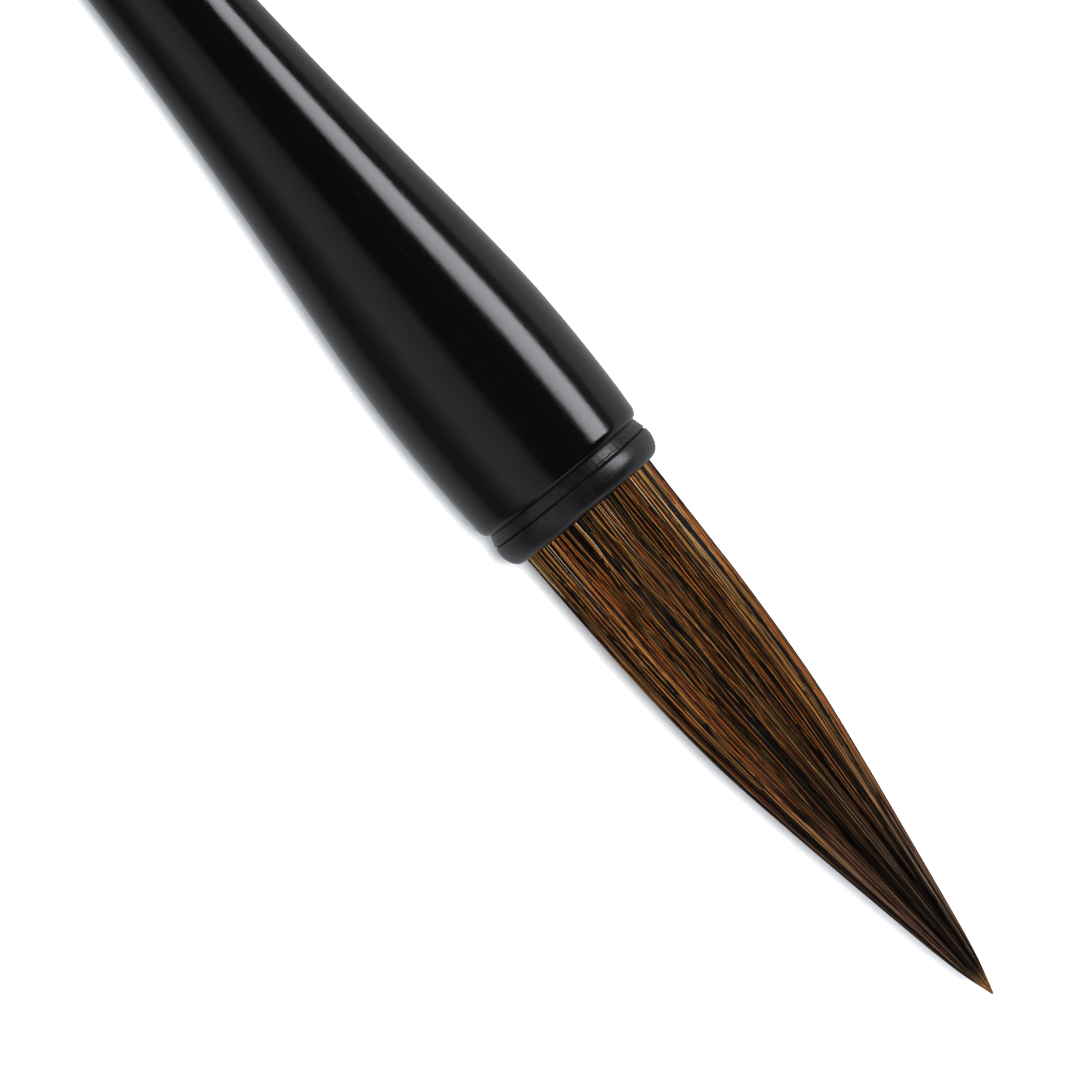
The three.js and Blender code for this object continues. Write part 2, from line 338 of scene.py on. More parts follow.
def lacquer_material():
    """Deep black gloss over hardwood: a hint of brown grain, and orange peel and fine specks in the gloss."""
    lacquer = Shader("lacquer", (0.003, 0.0027, 0.003), 0.1)
    grain = lacquer.noise(1500, stretch=(30, 1, 1), detail=4)
    lacquer.set("Base Color", lacquer.ramp(
        grain,
        (0.35, (0.0010, 0.0010, 0.0013)),
        (0.60, (0.0014, 0.0012, 0.0013)),
        (0.80, (0.0050, 0.0022, 0.0018)),
    ))
    specks = lacquer.noise(7000, detail=2)
    lacquer.set("Roughness", lacquer.between(specks, low=0.07, high=0.15))
    waves = lacquer.noise(900, stretch=(2, 1, 1), detail=2)
    peel = lacquer.bump(waves, distance=0.020 * MM, strength=0.35)
    lacquer.set("Normal", lacquer.bump(specks, distance=0.010 * MM, strength=0.7, under=peel))
    return lacquer.material


def horn_material():
    """Polished black horn gone satin, with faint turned lines and cloudy patches."""
    horn = Shader("horn", (0.003, 0.003, 0.004), 0.25)
    cloud = horn.noise(700, detail=4)
    horn.set("Base Color", horn.ramp(
        cloud,
        (0.3, (0.0016, 0.0016, 0.0022)),
        (0.7, (0.0050, 0.0046, 0.0056)),
    ))
    specks = horn.noise(6000, detail=3)
    horn.set("Roughness", horn.between(specks, low=0.23, high=0.36))
    lines = horn.noise(2500, stretch=(0.25, 6, 6), detail=2)
    turned_lines = horn.bump(lines, distance=0.012 * MM, strength=0.5)
    horn.set("Normal", horn.bump(specks, distance=0.008 * MM, strength=0.6, under=turned_lines))
    return horn.material


def hair_material(name, roughness):
    """Hair coloured strand by strand, with the scales along each strand breaking up its gloss."""
    hair = Shader(name, (0.12, 0.05, 0.015), roughness, Specular_IOR_Level=0.14)
    tint = hair.node("ShaderNodeAttribute", attribute_name=TINT)
    hair.set("Base Color", tint.outputs["Color"])
    scales = hair.noise(9000, stretch=(6, 1, 1), detail=2)
    hair.set("Roughness", hair.between(scales, low=roughness - 0.08, high=roughness + 0.12))
    hair.set("Normal", hair.bump(scales, distance=0.006 * MM, strength=0.5))
    return hair.material


def glue_material():
    """Amber adhesive with bubbles in it."""
    glue = Shader("glue", (0.43, 0.25, 0.07), 0.35, Subsurface_Weight=0.2)
    bubbles = glue.noise(1800, detail=3)
    glue.set("Base Color", glue.ramp(bubbles, (0.35, (0.30, 0.16, 0.045)), (0.7, (0.50, 0.31, 0.10))))
    glue.set("Normal", glue.bump(bubbles, distance=0.06 * MM, strength=0.6))
    return glue.material


def rosin_material():
    """Dark, glassy rosin that ran before it set."""
    rosin = Shader("rosin", (0.15, 0.046, 0.008), 0.22, Coat_Weight=0.4)
    flow = rosin.noise(600, detail=4)
    rosin.set("Base Color", rosin.ramp(flow, (0.35, (0.07, 0.02, 0.004)), (0.7, (0.22, 0.075, 0.014))))
    rosin.set("Normal", rosin.bump(flow, distance=0.1 * MM, strength=0.5))
    return rosin.material


def thread_material():
    """Undyed cotton thread."""
    thread = Shader("thread", (0.69, 0.61, 0.46), 0.85, Sheen_Weight=0.3)
    fibre = thread.noise(5000, stretch=(4, 1, 1), detail=3)
    thread.set("Base Color", thread.ramp(fibre, (0.3, (0.50, 0.43, 0.31)), (0.7, (0.78, 0.71, 0.56))))
    thread.set("Normal", thread.bump(fibre, distance=0.05 * MM, strength=0.8))
    return thread.material


# ---------------------------------------------------------------- handle and rings

CREASE = 0.14 * MM  # depth of the crease between the wood and the ring
BAND_BACK = -3.9 * MM  # where the wood meets the ring, whose band rises from here
BAND_TOP = -2.9 * MM  # where the band stops rising
BEAD_BACK = -2.6 * MM  # the groove between the band and the bead
CROWN = -2.0 * MM  # where the bead is widest
SHOULDER = 1.15 * MM  # the length over which the wood rounds down to the ring
FINE_EDGE = 0.09 * MM  # the crisp edge that the lacquer leaves on the wood, against the ring


def ring_radii():
    """The radius of the collar ring where its band starts, and at the bead's crown."""
    stations, radii = outermost("collar_ring")
    return float(radii[np.abs(stations - BAND_BACK).argmin()]), float(radii.max())


def handle_piece(material):
    """The turned wood, with its front edge rounded down to a fine crease against the ring."""
    stations, radii = outermost("handle_body")
    front = BAND_BACK
    outside = stations < front - SHOULDER
    curve = smooth_curve(stations[outside], radii[outside])
    back, shoulder_from = stations[outside][[0, -1]]
    end_radius, shoulder_radius = float(curve(back)), float(curve(shoulder_from))
    band, _ = ring_radii()
    edge = 0.25 * MM
    socket_radius = MOUTH_RADIUS + 0.6 * MM
    socket_depth = 5 * MM
    tenon_radius = 2.9 * MM
    crisp = (front - FINE_EDGE, band + 0.5 * FINE_EDGE)
    outline = [(back, 0.0), (back - edge, tenon_radius), (back - edge, end_radius - edge)]
    outline += rounded_corner(outline[-1], (back - edge, end_radius), (back, end_radius), steps=4)[1:]
    outline += [(s, float(curve(s))) for s in np.linspace(back, shoulder_from, 220)[1:]]
    outline += rounded_corner(outline[-1], (crisp[0], shoulder_radius), crisp, steps=14)[1:]
    outline += rounded_corner(crisp, (front, crisp[1]), (front, band - CREASE), steps=3)[1:]
    outline += [(front, socket_radius), (front - socket_depth, socket_radius), (front - socket_depth, 0.0)]
    wood = revolve("handle_body_lacquered", outline, around=256)
    return finish_piece(wood, "handle", material, "lacquer", "handle_body")


def collar_piece(material):
    """The ring round the mouth: a rising band, a groove, and a bead that rounds in to the hair."""
    band, bead = ring_radii()
    sleeve_back = float(points_of("collar_ring")[0].min()) - MOUTH_FROM_PIVOT
    inner = MOUTH_RADIUS
    sleeve = inner + 0.3 * MM
    lip = 0.08 * MM
    chamfer = 0.07 * MM
    groove = 0.13 * MM
    rise_from = (BAND_BACK + 2 * chamfer, band - 0.05 * MM)
    rise_to = (BAND_TOP, bead - 0.16 * MM)
    band_front = (BEAD_BACK - groove, bead - 0.11 * MM)
    groove_floor = (BEAD_BACK - 0.2 * groove, bead - 1.8 * CREASE)
    bead_from = (BEAD_BACK + 0.7 * groove, bead - CREASE)
    outline = [(sleeve_back, inner), (sleeve_back, sleeve), (BAND_BACK, sleeve)]
    outline += [(BAND_BACK, band - CREASE), (BAND_BACK + chamfer, band - 0.6 * CREASE)]
    outline += zip(np.linspace(rise_from[0], rise_to[0], 7), np.linspace(rise_from[1], rise_to[1], 7))
    outline += rounded_corner(rise_to, (BAND_TOP + chamfer, band_front[1]), band_front, steps=5)[1:]
    outline += [groove_floor, bead_from]
    outline += rounded_corner(bead_from, (bead_from[0], bead), (CROWN, bead), steps=16)[1:]
    outline += rounded_corner(outline[-1], (0.0, bead), (0.0, inner + lip), steps=22)[1:]
    outline += rounded_corner(outline[-1], (0.0, inner), (-lip, inner), steps=3)[1:]
    outline += [(sleeve_back, inner)]
    marks = tool_marks(rise_from[0], groove_floor[0])
    ring = revolve("collar_ring_turned", outline, around=360, ripple=marks)
    return finish_piece(ring, "handle", material, "horn", "collar_ring")


def tool_marks(back, front):
    """The turning tool has left the ring's band a little uneven: how much, as a function of place."""
    size, pitch, kinds = 0.005 * MM, 0.1 * MM, 5
    waves_round = (37, 60, 83)
    starts = np.random.default_rng(7).uniform(0, 2 * math.pi, (len(waves_round), kinds))

    def ripple(along, angles):
        if not back < along < front:
            return 0.0
        kind = int(along / pitch) % kinds
        return size * sum(np.sin(angles * count + start[kind]) for count, start in zip(waves_round, starts))

    return ripple


def top_ring_piece(material):
    """The ring at the far end of the wood: a half-round bead between two narrow bands."""
    stations, radii = outermost("top_ring")
    back, front = stations[0], stations[-1]
    band, bead = float(radii[0]), float(radii.max())
    hole = float(points_of("top_ring")[1].min())
    middle = (back + front) / 2
    band_width = 0.8 * MM
    bead_back, bead_front = back + band_width, front - band_width
    edge = 0.12 * MM
    outline = [(back, hole), (back, band - edge)]
    outline += rounded_corner(outline[-1], (back, band), (back + edge, band), steps=3)[1:]
    outline += [(bead_back - edge, band), (bead_back, band - edge)]
    outline += rounded_corner(outline[-1], (bead_back, bead), (middle, bead), steps=14)[1:]
    outline += rounded_corner(outline[-1], (bead_front, bead), (bead_front, band - edge), steps=14)[1:]
    outline += [(bead_front + edge, band), (front - edge, band)]
    outline += rounded_corner(outline[-1], (front, band), (front, band - edge), steps=3)[1:]
    outline += [(front, hole), (back, hole)]
    ring = revolve("top_ring_turned", outline, around=192)
    return finish_piece(ring, "handle", material, "horn", "top_ring")


def finial_piece(material):
    """The turned finial: a flat end, a drop drilled across for a hanging loop, a neck and a flared foot."""
    along, radius = points_of("finial")
    along = along - MOUTH_FROM_PIVOT
    end, tenon_end = float(along.min()), float(along.max())
    drop, foot_radius = 4.1 * MM, float(radius.max())
    foot = float(along[radius > 0.98 * foot_radius].max())
    face, neck, tenon = 2.4 * MM, 3.1 * MM, 2.6 * MM
    drop_at, neck_at = end + 3.6 * MM, foot - 3.0 * MM
    edge = 0.2 * MM
    rim = 0.3 * edge
    loop_hole = 1.15 * MM
    outline = [(end, 0.0), (end, face - edge)]
    outline += rounded_corner(outline[-1], (end, face), (end + rim, face + rim), steps=3)[1:]
    outline += rounded_corner(outline[-1], (end + rim, drop), (drop_at, drop), steps=16)[1:]
    outline += rounded_corner(outline[-1], (neck_at, drop), (neck_at, neck), steps=16)[1:]
    foot_edge = (foot - edge, foot_radius - edge)
    outline += rounded_corner(outline[-1], (foot - edge, neck), foot_edge, steps=16)[1:]
    outline += rounded_corner(foot_edge, (foot - edge, foot_radius), (foot, foot_radius - edge), steps=4)[1:]
    outline += [(foot, tenon), (tenon_end, tenon), (tenon_end, 0.0)]
    made = revolve("finial_turned", outline, around=160)
    drill_across(made, drop_at, loop_hole, half_length=2 * drop)
    return finish_piece(made, "handle", material, "horn", "finial")


def drill_across(made, along, radius, half_length):
    """Cuts a round hole through a piece from side to side."""
    around = 64
    turn = np.arange(around) * 2 * math.pi / around
    middle = np.array(MOUTH + ALONG * along)
    ring = middle + radius * (np.cos(turn)[:, None] * np.array(ALONG) + np.sin(turn)[:, None] * np.array(UP))
    points = np.concatenate([ring - half_length * np.array(SIDE), ring + half_length * np.array(SIDE)])
    walls = [(i, (i + 1) % around, around + (i + 1) % around, around + i) for i in range(around)]
    ends = [tuple(range(around))[::-1], tuple(range(around, 2 * around))]
    drill = new_object("drill", points, walls + ends)
    cut = made.modifiers.new("hole", "BOOLEAN")
    cut.operation = "DIFFERENCE"
    cut.object = drill
    cut.solver = "EXACT"
    bpy.context.view_layer.update()
    result = bpy.data.meshes.new_from_object(made.evaluated_get(bpy.context.evaluated_depsgraph_get()))
    made.modifiers.clear()
    made.data = result
    bpy.data.objects.remove(drill)
    shade(made, sharp_degrees=30)


def thread_piece(material):
    """The thread that ties the root, wound round it in close turns."""
    along, radius = points_of("root_thread")
    along = along - MOUTH_FROM_PIVOT
    back, front = float(along.min()), float(along.max())
    thickness = 0.6 * MM
    inner = float(radius.min())
    turns, steps, sides = 4, 64, 10
    t = np.linspace(0, 1, turns * steps + 1)
    twist = 2 * math.pi * turns * t
    centre_along = back + thickness / 2 + (front - back - thickness) * t
    section = np.arange(sides) * 2 * math.pi / sides
    rows_along = centre_along[:, None] + thickness / 2 * np.cos(section)
    rows_radius = inner + thickness / 2 + thickness / 2 * np.sin(section)[None]
    points = place(rows_along, rows_radius, twist[:, None]).reshape(-1, 3)
    faces = []
    for row in range(len(t) - 1):
        for side in range(sides):
            low, after = row * sides, (side + 1) % sides
            faces.append((low + side, low + sides + side, low + sides + after, low + after))
    faces += [tuple(range(sides)), tuple(range(len(points) - sides, len(points)))[::-1]]
    made = new_object("root_thread_wound", points, faces)
    shade(made)
    return finish_piece(made, "handle", material, "thread", "root_thread")


# ---------------------------------------------------------------- hair

TUFT_LEAN = 0.5 * MM  # how far the tip has been set to the lit side
ROOT_IN_MOUTH = 3 * MM  # how far back inside the ring the strands start
BAKE_LAYOUT = "OFBake"  # the name of the flat layout that the strands' colours are laid out on

# The dark tone is partly the hair's own near-black and partly painted shade: the shaded gaps between the lit
# strands.
TONES = {
    "gold": linear(182, 132, 64),
    "orange": linear(190, 104, 42),
    "russet": linear(138, 68, 32),
    "brown": linear(108, 69, 37),
    "olive": linear(98, 76, 34),
    "dark": linear(15, 11, 8),
    "ash": linear(36, 36, 42),
    "pale": linear(232, 206, 168),
}
LOCKS = {  # the chance of each tone, in the order above, in each kind of lock
    "mixed": (0.06, 0.08, 0.13, 0.20, 0.09, 0.36, 0.07, 0.01),
    "warm": (0.08, 0.16, 0.18, 0.15, 0.02, 0.36, 0.03, 0.02),
    "olive": (0.09, 0.02, 0.06, 0.20, 0.24, 0.34, 0.04, 0.01),
    "ashen": (0.01, 0.02, 0.05, 0.10, 0.03, 0.42, 0.36, 0.01),
}
LOCK_SHARES = (0.42, 0.26, 0.16, 0.16)
LOCK_COUNT = 84
SURFACE_TONES = {  # the chance of each tone among the single hairs on the surface, the bright ones first
    "gold": 0.13, "orange": 0.16, "olive": 0.05, "russet": 0.06, "dark": 0.49, "ash": 0.11,
}
TIP_TONE = linear(236, 172, 104)
GREY_OF = np.array([0.35, 0.45, 0.20])  # weights that turn a colour grey

MANTLE = 0.75 * MM  # how deep the outer strands lie
TUFT_END = 0.995 * HAIR_LENGTH  # where the longest strands end
LEAN_CURVE = 1.6  # the power of the distance from the mouth that the tip's lean grows with

# How strands run. A pair named BETWEEN is where an effect starts and where it is complete. The first is in
# metres from the mouth, and the rest are shares of the hair's length.
FREE_BETWEEN = (-1 * MM, 5 * MM)  # they leave the ring's grip
GATHER_BETWEEN = (0.1, 0.75)  # they close up into locks
LOCK_STRAY = 0.4  # how far locks stray from even spacing, as a share of it
STRAND_STRAY = 0.5  # the same for strands
LOCK_SWAY = 0.4 * MM  # how far a whole lock wanders sideways by the tip
STRAND_DRIFT = 0.5 * MM  # how far a single strand does
WAVE_LENGTHS = (24 * MM, 7 * MM)
DIP_LENGTHS = (34 * MM, 12 * MM)
DIP = 0.035 * MM  # how far strands dip under the tuft's surface here and there
CROWDING = 0.7  # the power of the tuft's width that the depth of its layers falls with
THINNING = 0.55  # the share of its width that a strand loses by its end
POINT = 0.05  # the last share of a strand, over which it comes to a point
POINT_WIDTH = 0.12  # how wide that point still is at its end
NEAR_AXIS = 0.02 * MM  # the nearest that a strand comes to the axis
HOLE_CLEARANCE = 0.15 * MM  # the room between the strands and the ring's hole

# How strands change colour towards the tip.
DARKEN_BETWEEN = (0.30, 0.62)  # the mass of the hair darkens
DIM_BETWEEN, DIMMING = (0.5, 0.85), 0.35  # the hairs on its surface dim
GREY_BETWEEN, GREYING = (0.40, 0.85), 0.40  # every hair turns greyer
GOLDEN_BETWEEN, GOLDEN_SHARE = (0.966, 0.98), 0.45  # the share of the hairs that end in a golden point


def tuft_lean(along):
    return TUFT_LEAN * np.clip(along / HAIR_LENGTH, 0, 1) ** LEAN_CURVE


class Strands:
    """Where many fine strands run, in the brush's own terms: arrays of strand x station.

    length, depth and half_width have one value for each strand. gather is the least and the most that one is
    pulled towards its lock, and waviness is how far it waves sideways.
    """

    def __init__(self, rng, length, depth, half_width, segments, gather, waviness):
        self.rng, self.count = rng, len(length)
        angle, to_lock = self.share_out()
        u = np.linspace(0, 1, segments + 1)[None]
        self.along = along = -ROOT_IN_MOUTH + (length[:, None] + ROOT_IN_MOUTH) * u
        self.t = t = along / HAIR_LENGTH
        surface = hair_radius_at(np.clip(along, 0, HAIR_LENGTH))
        freedom = smoothstep(*FREE_BETWEEN, along)
        pull = rng.uniform(*gather, self.count)[:, None] * smoothstep(*GATHER_BETWEEN, t)
        sway = rng.normal(0, LOCK_SWAY, LOCK_COUNT)[self.lock][:, None] * smoothstep(0, 1, t)
        drift = rng.normal(0, STRAND_DRIFT, self.count)[:, None] * t
        wave = self.waves(*WAVE_LENGTHS, waviness) * (1.3 - t)
        turned = angle[:, None] + to_lock * pull + freedom * (sway + drift + wave) / HAIR_RADIUS
        dip = self.waves(*DIP_LENGTHS, DIP) * freedom
        width = half_width[:, None] * (1 - THINNING * u) * np.clip((1 - u) / POINT, POINT_WIDTH, 1)
        layer = depth[:, None] * (surface / HAIR_RADIUS) ** CROWDING
        radius = surface - layer + np.minimum(dip, 0) - width
        radius = np.clip(radius, NEAR_AXIS, MOUTH_RADIUS - HOLE_CLEARANCE - width)
        centre = place(along, radius, turned) + tuft_lean(along)[..., None] * np.array(SIDE)
        self.points = tube_points(centre, turned, width)

    def share_out(self):
        """Spreads locks and strands round the tuft. Gives each strand's angle, and the turn to its lock."""
        full_turn = 2 * math.pi
        lock_angle = np.arange(LOCK_COUNT) + self.rng.uniform(-LOCK_STRAY, LOCK_STRAY, LOCK_COUNT)
        lock_angle *= full_turn / LOCK_COUNT
        stray = self.rng.uniform(-STRAND_STRAY, STRAND_STRAY, self.count)
        angle = (np.arange(self.count) + stray) / self.count * full_turn
        to_each = (lock_angle[None] - angle[:, None] + math.pi) % full_turn - math.pi
        self.lock = np.abs(to_each).argmin(1)
        return angle, to_each[np.arange(self.count), self.lock][:, None]

    def waves(self, longest, shortest, size):
        """A gentle wave along each strand, each with its own length, start and height."""
        wave_length = self.rng.uniform(shortest, longest, self.count)[:, None]
        start = self.rng.uniform(0, 2 * math.pi, self.count)[:, None]
        height = self.rng.normal(0, size, self.count)[:, None]
        return height * np.sin(2 * math.pi * self.along / wave_length + start)

    def finished(self, colour):
        """The colour greyed towards the end, with a golden point on some of the strands."""
        grey = (colour @ GREY_OF)[..., None]
        greyed = GREYING * smoothstep(*GREY_BETWEEN, self.t)[..., None]
        colour = colour * (1 - greyed) + grey * greyed
        has_gold = self.rng.random(self.count) < GOLDEN_SHARE
        golden_end = (has_gold[:, None] * smoothstep(*GOLDEN_BETWEEN, self.t))[..., None]
        return colour * (1 - golden_end) + np.array(TIP_TONE) * golden_end


def body_strands(name, rng, count, material):
    """The mass of the outer hair: locks of mixed browns that darken towards the tip."""
    depth = MANTLE * np.sqrt(rng.random(count))
    length = TUFT_END * (0.80 + 0.20 * rng.beta(5, 1.2, count))
    half_width = rng.uniform(0.036, 0.062, count) * MM
    strands = Strands(rng, length, depth, half_width, segments=26, gather=(0.2, 0.5), waviness=0.11 * MM)
    kinds = rng.choice(list(LOCKS), LOCK_COUNT, p=LOCK_SHARES)
    chances = np.array([LOCKS[kind] for kind in kinds])[strands.lock]
    pick = (rng.random(count)[:, None] > np.cumsum(chances, axis=1)).sum(1).clip(0, len(TONES) - 1)
    brightness = 0.3 + 0.75 * rng.random(count) ** 2
    base = np.array(list(TONES.values()))[pick] * brightness[:, None]
    darken = 1 - rng.uniform(0.60, 0.92, count)[:, None] * smoothstep(*DARKEN_BETWEEN, strands.t)
    flecks = 1 + strands.waves(14 * MM, 4 * MM, 0.18)
    # Hairs that lie deeper in the mantle are darkened: painted shade, the shade inside the tuft.
    painted_depth_shade = 1 - 0.85 * smoothstep(0, 0.65, depth / MANTLE)[:, None]
    colour = strands.finished(base[:, None] * (darken * flecks * painted_depth_shade)[..., None])
    return strands_object(name, strands.points, colour, material)


def surface_strands(name, rng, count, material):
    """Single hairs on the surface, bright ones with dark ones between. They thin out evenly with the tuft."""
    width_at_end = rng.uniform(0.06, 0.95, count)
    reach = np.interp(width_at_end, (HAIR_RADII / HAIR_RADIUS)[::-1], HAIR_STATIONS[::-1])
    length = np.minimum(reach, TUFT_END)
    tones = [TONES[tone] for tone in SURFACE_TONES]
    pick = rng.choice(len(tones), count, p=list(SURFACE_TONES.values()))
    is_dark = pick >= list(SURFACE_TONES).index("dark")
    depth = rng.uniform(0, 0.05, count) * MM
    # Dark hairs are drawn wider than bright ones: partly painted shade, the shaded gaps between the bright
    # hairs.
    wide, fine = rng.uniform(0.040, 0.065, count), rng.uniform(0.026, 0.043, count)
    half_width = np.where(is_dark, wide, fine) * MM
    strands = Strands(rng, length, depth, half_width, segments=40, gather=(0.0, 0.35), waviness=0.12 * MM)
    base = np.array(tones)[pick] * rng.uniform(0.45, 1.1, count)[:, None]
    # shows dims each hair in long stretches along it: painted shade, where it would pass under its
    # neighbours.
    shows = 0.75 + 0.25 * np.tanh(strands.waves(22 * MM, 8 * MM, 1.6))
    dim_end = 1 - DIMMING * smoothstep(*DIM_BETWEEN, strands.t)
    colour = strands.finished(base[:, None] * (shows * dim_end)[..., None])
    return strands_object(name, strands.points, colour, material)


def pale_strands(name, rng, count, material):
    """A few pale, wavy hairs near the mouth. Their far ends are darkened: painted shade where they dive into
    the tuft again.
    """
    segments = 40
    length = rng.uniform(5, 15, count) * MM
    depth = rng.uniform(-0.02, 0.03, count) * MM
    half_width = rng.uniform(0.030, 0.042, count) * MM
    strands = Strands(rng, length, depth, half_width, segments, gather=(0.0, 0.2), waviness=0.13 * MM)
    # The far part of each pale hair is darkened: painted shade where it goes into the tuft.
    painted_dive_shade = 1 - 0.8 * smoothstep(0.6, 1.0, np.linspace(0, 1, segments + 1))
    brightness = rng.uniform(0.3, 0.9, count)
    colour = np.array(TONES["pale"]) * brightness[:, None, None] * painted_dive_shade[None, :, None]
    return strands_object(name, strands.points, colour, material)


def tube_points(centre, turned, width):
    """The corners of three-sided tubes along centre, each with one edge facing out."""
    tangent = np.gradient(centre, axis=1)
    tangent /= np.linalg.norm(tangent, axis=2, keepdims=True)
    outward = np.cos(turned)[..., None] * np.array(UP) + np.sin(turned)[..., None] * np.array(SIDE)
    outward -= (outward * tangent).sum(2, keepdims=True) * tangent
    outward /= np.linalg.norm(outward, axis=2, keepdims=True)
    across = np.cross(tangent, outward)
    spin = (np.arange(3) * 2 * math.pi / 3)[None, None, :, None]
    ring = outward[:, :, None] * np.cos(spin) + across[:, :, None] * np.sin(spin)
    return centre[:, :, None] + ring * width[:, :, None, None]


def strands_object(name, points, colours, material):
    """One mesh of closed tubes: points are strand x station x corner x 3, colours strand x station x 3."""
    count, stations, corners = points.shape[:3]
    index = np.arange(count * stations * corners).reshape(count, stations, corners)
    after = np.roll(index, -1, axis=2)
    sides = np.stack([index[:, :-1], after[:, :-1], after[:, 1:], index[:, 1:]], -1).reshape(-1, 4)
    ends = np.concatenate([index[:, 0, ::-1], index[:, -1]])
    mesh = bpy.data.meshes.new(name)
    mesh.vertices.add(points.size // 3)
    mesh.vertices.foreach_set("co", points.astype(np.float32).ravel())
    loops = np.concatenate([sides.ravel(), ends.ravel()])
    sizes = np.concatenate([np.full(len(sides), 4), np.full(len(ends), 3)])
    mesh.loops.add(len(loops))
    mesh.loops.foreach_set("vertex_index", loops.astype(np.int32))
    mesh.polygons.add(len(sizes))
    mesh.polygons.foreach_set("loop_start", np.concatenate([[0], np.cumsum(sizes)[:-1]]).astype(np.int32))
    mesh.update(calc_edges=True)
    mesh.polygons.foreach_set("use_smooth", np.ones(len(sizes), bool))
    layout = mesh.uv_layers.new(name=BAKE_LAYOUT)
    layout.data.foreach_set("uv", strand_layout(count, stations).astype(np.float32).ravel())
    colours = np.repeat(colours[:, :, None], corners, axis=2).reshape(-1, 3)
    return tinted(name, mesh, colours, material, ("hair_mantle",))


def strand_layout(count, stations):
    """A flat layout with each strand in its own cell, so that a picture laid on it keeps their colours apart.
    """
    rows = 8
    columns = math.ceil(count / rows)
    strand = np.arange(count)
    cell = np.stack([strand % columns, strand // columns], 1) / (columns, rows)
    inset = np.array([0.1 / columns, 0.01 / rows])
    room = np.array([1 / columns, 1 / rows]) - 2 * inset
    side_u = np.arange(3)[:, None] / 3 + np.array([0, 1, 1, 0]) / 3
    step_v = (np.arange(stations - 1)[:, None] + np.array([0, 0, 1, 1])) / (stations - 1)
    wall = np.stack(np.broadcast_arrays(side_u[None], step_v[:, None]), -1)
    walls = (cell + inset)[:, None, None, None] + wall[None] * room
    end = np.array([(0.1, 0.0), (0.9, 0.0), (0.5, 0.01)])
    ends = (cell + inset)[:, None] + end * room
    return np.concatenate([walls.reshape(-1, 2), ends.reshape(-1, 2), ends.reshape(-1, 2)])


def tinted(name, mesh, colours, material, nodes):
    """An object of hair from a mesh and the colour of each of its points."""
    tint = mesh.attributes.new(TINT, "FLOAT_COLOR", "POINT")
    rgba = np.concatenate([colours, np.ones((len(colours), 1))], axis=1)
    tint.data.foreach_set("color", rgba.astype(np.float32).ravel())
    made = bpy.data.objects.new(name, mesh)
    bpy.context.scene.collection.objects.link(made)
    made.data.materials.append(material)
    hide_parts(*nodes)
    bend_with_tuft(made)
    return made


def bend_with_tuft(made):
    """Bakes the hair's placement into its mesh."""
    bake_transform(made)


def packed_hair(name, depth, back, end, colours, material, slot, *nodes):
    """A packed bundle under the outer strands, its surface ridged by the hairs in it."""
    ridges, ridge_depth = 150, 0.12 * MM

    def ripple(along, angles):
        wander = np.sin(angles * 7 + 40 * along / HAIR_LENGTH)
        ridge = np.abs(np.sin(angles * ridges / 2 + wander))
        return -ridge_depth * ridge * hair_radius_at(max(along, 0.0)) / HAIR_RADIUS

    stations = np.linspace(back, end, 90)
    radii = np.maximum(hair_radius_at(np.maximum(stations, 0)) - depth, 0)
    radii[-1] = 0
    drawn = revolve(name, [(back, 0.0), *zip(stations, radii)], around=3 * ridges, ripple=ripple)
    mesh = drawn.data
    bpy.data.objects.remove(drawn)
    places = np.zeros(len(mesh.vertices) * 3)
    mesh.vertices.foreach_get("co", places)
    places = places.reshape(-1, 3)
    along = (places - np.array(MOUTH)) @ np.array(ALONG)
    outward = places - np.array(MOUTH) - along[:, None] * np.array(ALONG)
    angle = np.arctan2(outward @ np.array(SIDE), outward @ np.array(UP))
    places += tuft_lean(along)[:, None] * np.array(SIDE)
    mesh.vertices.foreach_set("co", places.ravel())
    mix = (0.5 + 0.5 * np.sin(angle * 61 + 2.1 * np.sin(angle * 17)))[:, None]
    tone = np.array(colours[0]) * mix + np.array(colours[1]) * (1 - mix)
    return tinted(name, mesh, tone, material, nodes)


# ---------------------------------------------------------------- stage, light and camera

FRAME_WIDTH = 1.691 * HAIR_LENGTH  # what the picture spans, at the brush
AXIS_SLOPE = math.radians(50.56)  # how steeply the brush falls to the right in the picture
CAMERA_LEAN = math.radians(2.2)  # how far the camera leans towards the handle's end
CAMERA_DISTANCE = 0.62
AIM = MOUTH - ALONG * 0.01 * HAIR_LENGTH - SIDE * 0.0885 * HAIR_LENGTH  # what the middle of the picture shows


def camera():
    data = bpy.data.cameras.new("camera")
    data.sensor_width = 36
    data.lens = data.sensor_width * CAMERA_DISTANCE / FRAME_WIDTH
    data.clip_start = 0.01
    made = bpy.data.objects.new("camera", data)
    bpy.context.scene.collection.objects.link(made)
    back = UP * math.cos(CAMERA_LEAN) - ALONG * math.sin(CAMERA_LEAN)
    seen_along = ALONG * math.cos(CAMERA_LEAN) + UP * math.sin(CAMERA_LEAN)
    right = seen_along * math.cos(AXIS_SLOPE) + SIDE * math.sin(AXIS_SLOPE)
    upward = SIDE * math.cos(AXIS_SLOPE) - seen_along * math.sin(AXIS_SLOPE)
    axes = Matrix((right, upward, back)).transposed().to_4x4()
    made.matrix_world = Matrix.Translation(AIM + back * CAMERA_DISTANCE) @ axes
    bpy.context.scene.camera = made


def floor():
    """A wide sheet of pale paper. The brush's gloss doesn't show it: the surround stands in for it there."""
    half = 3.0
    level = -0.05 * MM  # the fine round pieces reach a little below the faceted ones that they replace
    corners = [(-half, -half, level), (half, -half, level), (half, half, level), (-half, half, level)]
    made = new_object("floor", corners, [(0, 1, 2, 3)])
    paper = Shader("floor_paper", (0.86, 0.86, 0.86), 0.7)
    made.data.materials.append(paper.material)
    made.visible_glossy = False
